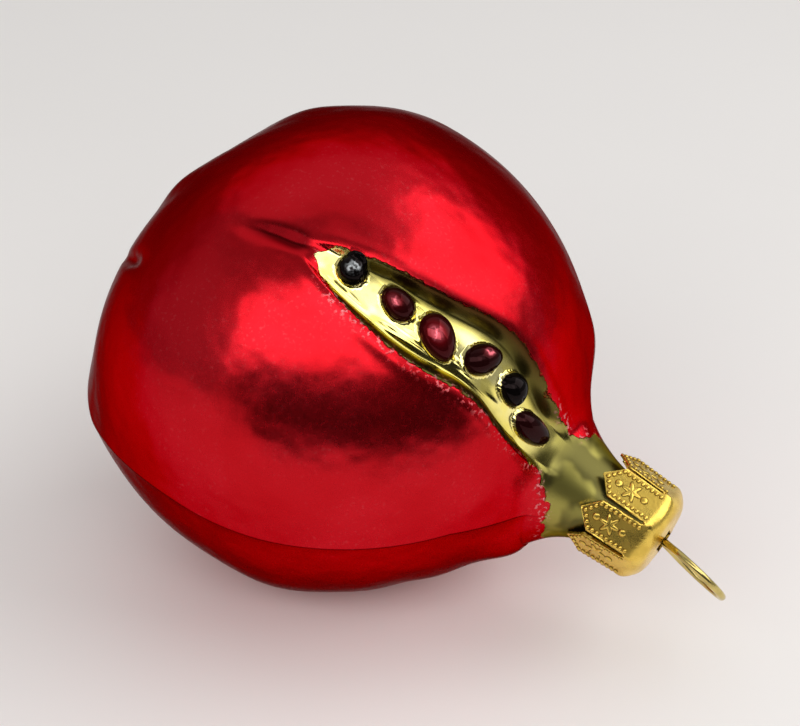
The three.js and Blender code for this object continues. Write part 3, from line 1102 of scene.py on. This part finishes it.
    def build_emboss(self, finish: bpy.types.Material) -> bpy.types.Object:
        """Repeat the embossing on every tab.

        Args:
            finish: The material of the cap.

        Returns:
            The finished piece.
        """
        frames = self.tab_frames()
        piece = mesh_piece("cap_emboss", np.array([frame.translation for frame in frames]), [])
        layer = piece.data.attributes.new("facing", "FLOAT_VECTOR", "POINT")
        facing = [tuple(frame.to_3x3().normalized().to_euler()) for frame in frames]
        layer.data.foreach_set("vector", np.array(facing, dtype=np.float32).ravel())
        pattern = self.pattern()
        sheet = GeometrySheet("tab_embossing", {"Size": 1.0, "Merge": 0.01 * MM})
        source = sheet.add("GeometryNodeObjectInfo")
        source.inputs["Object"].default_value = pattern
        copies = sheet.add("GeometryNodeInstanceOnPoints")
        sheet.pass_through(copies, "Points")
        sheet.link(source.outputs["Geometry"], copies.inputs["Instance"])
        sheet.link(sheet.attribute("facing", "FLOAT_VECTOR"), copies.inputs["Rotation"])
        sheet.size("Size").feed(copies.inputs["Scale"])
        sheet.pass_through(sheet.add("GeometryNodeRealizeInstances"))
        merge = sheet.pass_through(sheet.add("GeometryNodeMergeByDistance"))
        sheet.size("Merge").feed(merge.inputs["Distance"])
        sheet.close(finish)
        plain = sheet.apply_to(piece)
        bpy.data.objects.remove(pattern)
        self.attach(plain, replaces=False)
        return plain


@dataclass
class WireHanger:
    """The spring wire: a loop outside the cap and two legs that spread inside the neck."""

    cap: PressedCap
    wire_radius: float = 0.55
    loop_radius: float = 5.6
    throat: float = 1.35
    loop_rise: float = 6.5
    throat_turn: float = 32.0
    leg_length: float = 9.0
    leg_spread: float = 3.3
    droop: float = 9.5

    def seat(self) -> Matrix:
        """Return the step from the wire's own axes, with the slot at the origin, to the frame."""
        turn = Matrix.Rotation(math.radians(self.cap.hanger_turn), 4, "Z")
        lean = Matrix.Rotation(-math.radians(self.droop), 4, "X")
        return self.cap.seat() @ Matrix.Translation((0, 0, self.cap.shoulder)) @ turn @ lean

    def corners(self) -> np.ndarray:
        """Return the points that the wire bends through."""
        middle = 0.5 * (self.leg_spread + self.throat)
        leg = np.array([[-self.leg_spread, 0, -self.leg_length], [-middle, 0, -self.leg_length / 2],
                        [-self.throat, 0, -self.wire_radius]])
        start = math.radians(self.throat_turn)
        turn = np.linspace(start, 2 * math.pi - start, 13)
        swing = -self.loop_radius * np.sin(turn)
        climb = self.loop_rise - self.loop_radius * np.cos(turn)
        loop = np.stack([swing, 0 * turn, climb], -1)
        other = leg[::-1] * np.array([-1.0, 1.0, 1.0])
        return np.concatenate([leg, loop, other])

    def line(self) -> np.ndarray:
        """Return the middle line of the wire as a smooth run of points."""
        corners = self.corners()
        first = 2 * corners[0] - corners[1]
        last = 2 * corners[-1] - corners[-2]
        knots = np.concatenate([[first], corners, [last]])
        run = []
        for a, b, c, d in zip(knots, knots[1:], knots[2:], knots[3:]):
            for t in np.linspace(0, 1, 12, endpoint=False):
                run.append(0.5 * (2 * b + (c - a) * t + (2 * a - 5 * b + 4 * c - d) * t**2
                                  + (3 * b - a - 3 * c + d) * t**3))
        return np.array([*run, corners[-1]])

    def build(self, finish: bpy.types.Material) -> bpy.types.Object:
        """Sweep the wire along its line.

        Args:
            finish: The material of the wire.

        Returns:
            The finished piece.
        """
        sheet = GeometrySheet("drawn_wire", {"Radius": self.wire_radius * MM})
        circle = sheet.add("GeometryNodeCurvePrimitiveCircle")
        circle.inputs["Resolution"].default_value = 20
        sheet.size("Radius").feed(circle.inputs["Radius"])
        sweep = sheet.add("GeometryNodeCurveToMesh")
        sheet.pass_through(sweep, "Curve")
        sheet.link(circle.outputs["Curve"], sweep.inputs["Profile Curve"])
        sweep.inputs["Fill Caps"].default_value = True
        sheet.close(finish)
        piece = sheet.apply_to(curve_piece("hanger_wire", [placed(self.line(), self.seat())]))
        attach(piece, ROOT_BODY)
        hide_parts("hanger")
        return piece


class FinishSheet(NodeSheet):
    """A material's node tree with its principled shader."""

    def __init__(self, name: str) -> None:
        """Make the material.

        Args:
            name: The material's name.
        """
        self.material = bpy.data.materials.new(name)
        self.material.use_nodes = True
        super().__init__(self.material.node_tree)
        self.shader = self.tree.nodes["Principled BSDF"]
        self.place = self.add("ShaderNodeTexCoord").outputs["Object"]

    def attribute(self, name: str) -> Field:
        """Return a named attribute of the mesh as a field."""
        node = self.add("ShaderNodeAttribute", attribute_type="GEOMETRY", attribute_name=name)
        return self.field(node.outputs["Fac"])

    def set(self, **values: object) -> None:
        """Set plain values on the shader's sockets, named with underscores for spaces."""
        for name, value in values.items():
            self.shader.inputs[name.replace("_", " ")].default_value = value

    def feed(self, name: str, value: Field) -> None:
        """Link a field to one of the shader's sockets."""
        value.feed(self.shader.inputs[name])

    def group(self, tree: bpy.types.NodeTree, **values: Number) -> bpy.types.Node:
        """Place a shared effect with its own values."""
        node = self.add("ShaderNodeGroup", node_tree=tree)
        for name, value in values.items():
            plug(node.inputs[name.replace("_", " ")], value)
        return node

    def mix(self, share: Number, first: object, second: object) -> bpy.types.NodeSocket:
        """Mix two colours, each given as a colour or a socket.

        Args:
            share: How much of the second colour is used.
            first: The colour at share 0.
            second: The colour at share 1.

        Returns:
            The mixed colour's socket.
        """
        node = self.add("ShaderNodeMix", data_type="RGBA")
        plug(node.inputs["Factor"], share)
        for slot, color in ((node.inputs[6], first), (node.inputs[7], second)):
            if isinstance(color, bpy.types.NodeSocket):
                self.link(color, slot)
            else:
                slot.default_value = (*color, 1.0)
        return node.outputs[2]

    def bump(self, height: Field, distance: float) -> None:
        """Raise fine relief on the shader's normal."""
        node = self.add("ShaderNodeBump")
        node.inputs["Distance"].default_value = distance
        height.feed(node.inputs["Height"])
        self.link(node.outputs["Normal"], self.shader.inputs["Normal"])


class SharedEffects:
    """Effects that more than one finish uses, each built once as a node group."""

    def __init__(self) -> None:
        """Build the groups."""
        self.mottle = self.build_mottle()
        self.ragged = self.build_ragged()

    def opened(
        self, name: str, inputs: dict[str, float], outputs: Sequence[str]
    ) -> tuple[NodeSheet, dict, dict]:
        """Open a new shader group.

        Args:
            name: The group's name.
            inputs: Named inputs with their usual values.
            outputs: Names of the outputs.

        Returns:
            The sheet, the inputs as fields and the output sockets by name.
        """
        tree = bpy.data.node_groups.new(name, "ShaderNodeTree")
        for label, value in inputs.items():
            socket = tree.interface.new_socket(label, in_out="INPUT", socket_type="NodeSocketFloat")
            socket.default_value = value
        for label in outputs:
            tree.interface.new_socket(label, in_out="OUTPUT", socket_type="NodeSocketFloat")
        sheet = NodeSheet(tree)
        source = sheet.add("NodeGroupInput")
        target = sheet.add("NodeGroupOutput")
        fields = {label: sheet.field(source.outputs[label]) for label in inputs}
        return sheet, fields, {label: target.inputs[label] for label in outputs}

    def build_mottle(self) -> bpy.types.NodeTree:
        """Build slow patches and fine grain, as in a hand-sprayed or tarnished coat."""
        sheet, inputs, outputs = self.opened("coat_mottle", {"Patch scale": 90.0, "Grain scale": 2600.0},
                                             ("Patches", "Grain"))
        place = sheet.add("ShaderNodeTexCoord").outputs["Object"]
        sheet.noise(place, inputs["Patch scale"], 4.0).step(0.3, 0.7).feed(outputs["Patches"])
        sheet.noise(place, inputs["Grain scale"], 2.0).feed(outputs["Grain"])
        return sheet.tree

    def build_ragged(self) -> bpy.types.NodeTree:
        """Build a broken edge: 1 on the inner side of a distance, with crumbs along the line."""
        sizes = {"Distance": 0.0, "Reach": 0.6, "Scale": 900.0}
        sheet, inputs, outputs = self.opened("ragged_edge", sizes, ("Mask",))
        place = sheet.add("ShaderNodeTexCoord").outputs["Object"]
        rough = (sheet.noise(place, inputs["Scale"], 5.0) - 0.5) * 2.0
        shifted = inputs["Distance"] + rough * inputs["Reach"]
        (1.0 - shifted.step(-0.12, 0.12)).feed(outputs["Mask"])
        return sheet.tree


@dataclass(frozen=True)
class LacquerFinish:
    """Red lacquer over silvered glass, with the gold split and the painted seeds, and with painted shade,
    shadow and highlights in its colour.
    """

    red: Color = (0.70, 0.019, 0.034)
    deep_red: Color = (0.54, 0.008, 0.014)
    # the next colour is the painted highlight in the middle of the split's floor
    floor_highlight: Color = (1.0, 0.90, 0.40)
    gold: Color = (0.96, 0.82, 0.16)
    olive: Color = (0.34, 0.30, 0.075)
    shade: Color = (0.055, 0.045, 0.012)
    frost: Color = (0.92, 0.34, 0.36)
    # the next colour is the dark red of the painted shade along the seams, the crease, the split's upper lip
    # and the upper wall's edge
    line: Color = (0.05, 0.001, 0.002)
    seed_dark: Color = (0.004, 0.003, 0.003)
    seed_red: Color = (0.26, 0.003, 0.008)
    neck_shade: Color = (0.085, 0.075, 0.025)
    # the next two colours are the painted highlights on the seeds
    highlight_pink: Color = (0.80, 0.16, 0.20)
    highlight_grey: Color = (0.42, 0.44, 0.45)
    edge_tint: Color = (0.24, 0.16, 0.16)
    red_rough: float = 0.21
    grain_rough: float = 0.10
    gold_rough: float = 0.13
    wall_rough: float = 0.18
    crumb_rough: float = 0.25
    seed_rough: float = 0.06
    brush_range: Span = (41.0, 47.0)
    brush_reach: float = 4.0
    dab_start: Span = (42.0, 47.0)
    dab_end: Span = (52.0, 56.0)
    frost_range: Span = (44.0, 50.0)
    rim_start: Span = (8.0, 18.0)
    rim_end: Span = (36.0, 46.0)
    neck_range: Span = (46.0, 56.0)

    def build(self, shared: SharedEffects) -> bpy.types.Material:
        """Make the material.

        Args:
            shared: The effects that several finishes use.

        Returns:
            The finished material.
        """
        sheet = FinishSheet("lacquered_glass")
        edge = sheet.attribute(GlassPaint.EDGE)
        inside = sheet.attribute(GlassPaint.SEED)
        tone = sheet.attribute(GlassPaint.TONE)
        mottle = sheet.group(shared.mottle, Patch_scale=70.0, Grain_scale=1500.0)
        patches = sheet.field(mottle.outputs["Patches"])
        grain = sheet.field(mottle.outputs["Grain"])
        along = sheet.attribute(GlassPaint.ALONG)
        side = sheet.attribute(GlassPaint.SIDE)
        # painted shade along the seams and painted shadow beside the crease
        line = sheet.attribute(GlassPaint.SEAM).maximum(sheet.attribute(GlassPaint.CREASE_SHADOW).step(0.12, 0.7))
        brush = (sheet.noise(sheet.place, 260.0, 2.0) - 0.5) * along.step(*self.brush_range) * self.brush_reach
        dabs = side.step(0.3, 0.9) * along.step(*self.dab_start) * (1.0 - along.step(*self.dab_end))
        edge = edge + brush + dabs
        gilt = sheet.field(sheet.group(shared.ragged, Distance=edge, Reach=0.7, Scale=800.0).outputs["Mask"])
        low_side = side.step(-0.3, 0.2).maximum(along.step(*self.frost_range))
        near = ((edge - 0.4) / 0.9).bell() * low_side * (patches * 0.7 + 0.3)
        crumbs = sheet.noise(sheet.place, 1500.0, 4.0).step(0.54, 0.66) * near
        specks = sheet.noise(sheet.place, 1900.0, 3.0).step(0.56, 0.74) * patches * (1.0 - gilt)
        seed = inside.step(0.0, 0.06)
        red = sheet.mix(patches * 0.35, self.deep_red, self.red)
        # painted shade: a dark band in the red along the split's upper lip
        reach = along.step(*self.rim_start) * (1.0 - along.step(*self.rim_end))
        rim = ((edge - 0.4) / 0.9).bell() * (1.0 - low_side) * reach
        red = sheet.mix(line.maximum(rim * 0.8) * 0.85, red, self.line)
        neck = along.step(*self.neck_range)
        dull = neck.maximum(sheet.noise(sheet.place, 240.0, 3.0).step(0.45, 0.8) * 0.5)
        # painted highlight: cream patches in the middle of the split's floor
        floor_highlight_patches = sheet.noise(sheet.place, 330.0, 2.0).step(0.40, 0.56) * 0.6 + 0.4
        gold = sheet.mix((side / 0.62).bell() * (1.0 - neck) * floor_highlight_patches, self.gold, self.floor_highlight)
        gold = sheet.mix(dull * (neck * 0.5 + 0.5), gold, self.olive)
        blotch = sheet.noise(sheet.place, 170.0, 2.0).step(0.42, 0.58) * neck
        gold = sheet.mix(blotch * 0.85, gold, self.neck_shade)
        wall = (side * -1.0).step(0.35, 0.72)
        gold = sheet.mix(wall * 0.9, gold, self.shade)
        low_wall = side.step(0.58, 0.88)
        gold = sheet.mix(low_wall * 0.96, gold, self.shade)
        # painted shade along the upper wall's outer edge
        gold = sheet.mix((side * -1.0).step(0.72, 1.0) * reach * 0.8, gold, self.line)
        coat = sheet.mix(gilt, red, gold)
        coat = sheet.mix(crumbs * 0.8 + specks * 0.06, coat, self.frost)
        # painted light on the seeds: redder near the highlight spot and darker away from it, then a painted
        # highlight of pink or grey threads
        painted_lit_share = sheet.attribute(GlassPaint.PAINTED_HIGHLIGHT).step(0.0, 0.6) * 0.75 + 0.25
        seed_color = sheet.mix(tone * painted_lit_share, self.seed_dark, self.seed_red)
        highlight_threads = ((sheet.noise(sheet.place, 700.0, 2.0) - 0.5) / 0.05).bell()
        painted_highlight = sheet.attribute(GlassPaint.PAINTED_HIGHLIGHT).step(0.35, 0.85) * (highlight_threads * 0.75 + tone * 0.5)
        highlight_color = sheet.mix(tone.step(0.0, 0.2), self.highlight_grey, self.highlight_pink)
        seed_color = sheet.mix(painted_highlight, seed_color, highlight_color)
        sheet.link(sheet.mix(seed, coat, seed_color), sheet.shader.inputs["Base Color"])
        lacquer = 1.0 - gilt.maximum(seed)
        dulled = neck.maximum(wall).maximum(low_wall)
        gilt_rough = gilt * (dulled * self.wall_rough + self.gold_rough)
        red_rough = lacquer * (grain * self.grain_rough + self.red_rough)
        rough = red_rough + gilt_rough + crumbs * self.crumb_rough
        sheet.feed("Roughness", rough * (1.0 - seed) + seed * self.seed_rough)
        sheet.feed("Metallic", 1.0 - seed * 0.5 - crumbs * 0.4)
        sheet.set(Specular_Tint=(*self.edge_tint, 1.0))
        waves = sheet.noise(sheet.place, 110.0, 2.0) * lacquer
        sheet.bump(waves * 5.0 + grain * lacquer * 0.06 + crumbs * 0.5, 0.10 * MM)
        return sheet.material


@dataclass(frozen=True)
class GiltFinish:
    """Bright gilt metal with slightly tarnished patches."""

    name: str
    bright: Color
    dull: Color
    roughness: float
    patch_scale: float
    groove: Color = (0.06, 0.026, 0.004)

    def build(self, shared: SharedEffects) -> bpy.types.Material:
        """Make the material.

        Args:
            shared: The effects that several finishes use.

        Returns:
            The finished material.
        """
        sheet = FinishSheet(self.name)
        mottle = sheet.group(shared.mottle, Patch_scale=self.patch_scale, Grain_scale=2400.0)
        patches = sheet.field(mottle.outputs["Patches"])
        grain = sheet.field(mottle.outputs["Grain"])
        gilt = sheet.mix(patches * 0.6, self.bright, self.dull)
        worn = sheet.attribute(PATINA)
        sheet.link(sheet.mix(worn * 0.9, gilt, self.groove), sheet.shader.inputs["Base Color"])
        sheet.feed("Roughness", patches * 0.10 + worn * 0.25 + self.roughness)
        sheet.set(Metallic=1.0)
        sheet.bump(grain, 0.02 * MM)
        return sheet.material


CAP_FINISH = GiltFinish("gilt_cap", (0.88, 0.62, 0.12), (0.60, 0.39, 0.065), 0.22, 420.0)
WIRE_FINISH = GiltFinish("gilt_wire", (0.70, 0.56, 0.20), (0.38, 0.30, 0.09), 0.16, 500.0)


def direction(azimuth: float, elevation: float) -> Vector:
    """Return the unit vector that points to an azimuth and elevation in degrees."""
    turn, rise = math.radians(azimuth), math.radians(elevation)
    return Vector((math.sin(turn) * math.cos(rise), -math.cos(turn) * math.cos(rise), math.sin(rise)))


@dataclass(frozen=True)
class Panel:
    """A soft light panel, placed by its bearing from the camera and its elevation."""

    name: str
    bearing: float
    elevation: float
    distance: float
    width: float
    height: float
    radiance: float

    def power(self) -> float:
        """Return the lamp's power for its size and radiance."""
        return math.pi * self.width * self.height * self.radiance


@dataclass
class Studio:
    """The pale floor, the soft lights, a dark card and the camera."""

    lie: Lie
    azimuth: float = 28.83
    elevation: float = 30.0
    distance: float = 0.3261
    focal_pixels: float = 2079.7
    centre_pixel: tuple[float, float] = (328.0, 340.0)
    sensor: float = 36.0
    floor_color: Color = (0.88, 0.855, 0.835)
    floor_reach: float = 3.0
    surround: float = 0.30
    card_bearing: float = 10.0
    card_distance: float = 0.150
    card_width: float = 0.300
    card_height: float = 0.095
    card_color: Color = (0.012, 0.011, 0.010)
    panels: tuple[Panel, ...] = (
        Panel("window_front", -10.0, 33.0, 1.00, 1.36, 0.68, 2.05),
        Panel("bank_right", 89.0, 39.0, 1.00, 0.96, 0.80, 2.0),
        Panel("bank_top", 180.0, 65.0, 1.40, 2.18, 1.56, 0.40),
        Panel("window_mid", 30.0, 42.0, 1.00, 0.56, 0.56, 1.10),
        Panel("wall_left", -85.0, 25.0, 1.00, 0.86, 0.70, 0.15),
    )

    def add_camera(self) -> None:
        """Place the camera so that the ornament falls where the photograph has it."""
        back = direction(self.azimuth, self.elevation)
        right = direction(self.azimuth + 90.0, 0.0)
        up = back.cross(right)
        x = (self.centre_pixel[0] - IMAGE_WIDTH / 2) / self.focal_pixels
        y = (IMAGE_HEIGHT / 2 - self.centre_pixel[1]) / self.focal_pixels
        place = self.lie.centre() + self.distance * (back - x * right - y * up)
        lens = bpy.data.cameras.new("camera")
        lens.sensor_width = self.sensor
        lens.lens = self.focal_pixels * self.sensor / IMAGE_WIDTH
        lens.clip_start = 0.01
        camera = bpy.data.objects.new("camera", lens)
        camera.matrix_world = Matrix((right, up, back)).transposed().to_4x4()
        camera.location = place
        bpy.context.collection.objects.link(camera)
        bpy.context.scene.camera = camera

    def add_floor(self) -> None:
        """Lay the pale floor."""
        reach = self.floor_reach
        corners = np.array([[-reach, -reach, 0], [reach, -reach, 0], [reach, reach, 0], [-reach, reach, 0]])
        floor = mesh_piece("floor", corners, [(0, 1, 2, 3)])
        sheet = FinishSheet("pale_floor")
        cloud = sheet.noise(sheet.place, 14.0, 3.0)
        shade = tuple(0.97 * value for value in self.floor_color)
        sheet.link(sheet.mix(cloud, self.floor_color, shade), sheet.shader.inputs["Base Color"])
        sheet.set(Roughness=0.6)
        floor.data.materials.append(sheet.material)

    def add_card(self) -> None:
        """Stand a dark card in front, out of the camera's sight, for the glass to reflect."""
        toward = direction(self.azimuth + self.card_bearing, 0.0)
        along = direction(self.azimuth + self.card_bearing + 90.0, 0.0) * self.card_width / 2
        foot = self.lie.centre() + toward * self.card_distance
        foot.z = MM
        top = Vector((0.0, 0.0, self.card_height))
        corners = np.array([foot - along, foot + along, foot + along + top, foot - along + top])
        card = mesh_piece("dark_card", corners, [(0, 1, 2, 3)])
        sheet = FinishSheet("dark_felt")
        nap = sheet.noise(sheet.place, 600.0, 3.0)
        sheet.link(sheet.mix(nap, self.card_color, (0.0, 0.0, 0.0)), sheet.shader.inputs["Base Color"])
        sheet.set(Roughness=0.9)
        card.data.materials.append(sheet.material)
        card.visible_camera = False
        card.visible_shadow = False
        card.visible_diffuse = False

    def add_lights(self) -> None:
        """Hang the light panels and set the dim surround."""
        aim = self.lie.centre()
        for panel in self.panels:
            light = bpy.data.lights.new(panel.name, "AREA")
            light.shape = "RECTANGLE"
            light.size = panel.width
            light.size_y = panel.height
            light.energy = panel.power()
            lamp = bpy.data.objects.new(panel.name, light)
            toward = direction(self.azimuth + panel.bearing, panel.elevation)
            lamp.location = aim + panel.distance * toward
            lamp.rotation_euler = toward.to_track_quat("Z", "Y").to_euler()
            bpy.context.collection.objects.link(lamp)
        world = bpy.data.worlds.new("studio")
        world.use_nodes = True
        world.node_tree.nodes["Background"].inputs["Color"].default_value = (1.0, 0.99, 0.98, 1.0)
        world.node_tree.nodes["Background"].inputs["Strength"].default_value = self.surround
        bpy.context.scene.world = world

    def build(self) -> None:
        """Make the whole studio."""
        self.add_camera()
        self.add_floor()
        self.add_card()
        self.add_lights()
        bpy.context.scene.view_settings.view_transform = "Standard"


def main() -> None:
    """Build the ornament piece by piece and then the studio around it."""
    logging.basicConfig(level=logging.INFO, format="%(name)s: %(message)s")
    lie = Lie()
    shared = SharedEffects()
    cap_finish = CAP_FINISH.build(shared)
    cap = PressedCap(lie)
    Studio(lie).build()
    pieces = [
        GlassBody(lie).build(LacquerFinish().build(shared)),
        cap.build_sheet(cap_finish),
        cap.build_emboss(cap_finish),
        WireHanger(cap).build(WIRE_FINISH.build(shared)),
    ]
    for piece in pieces:
        LOG.info("%s: %d faces", piece.name, len(piece.data.polygons))


if __name__ == "__main__":
    main()
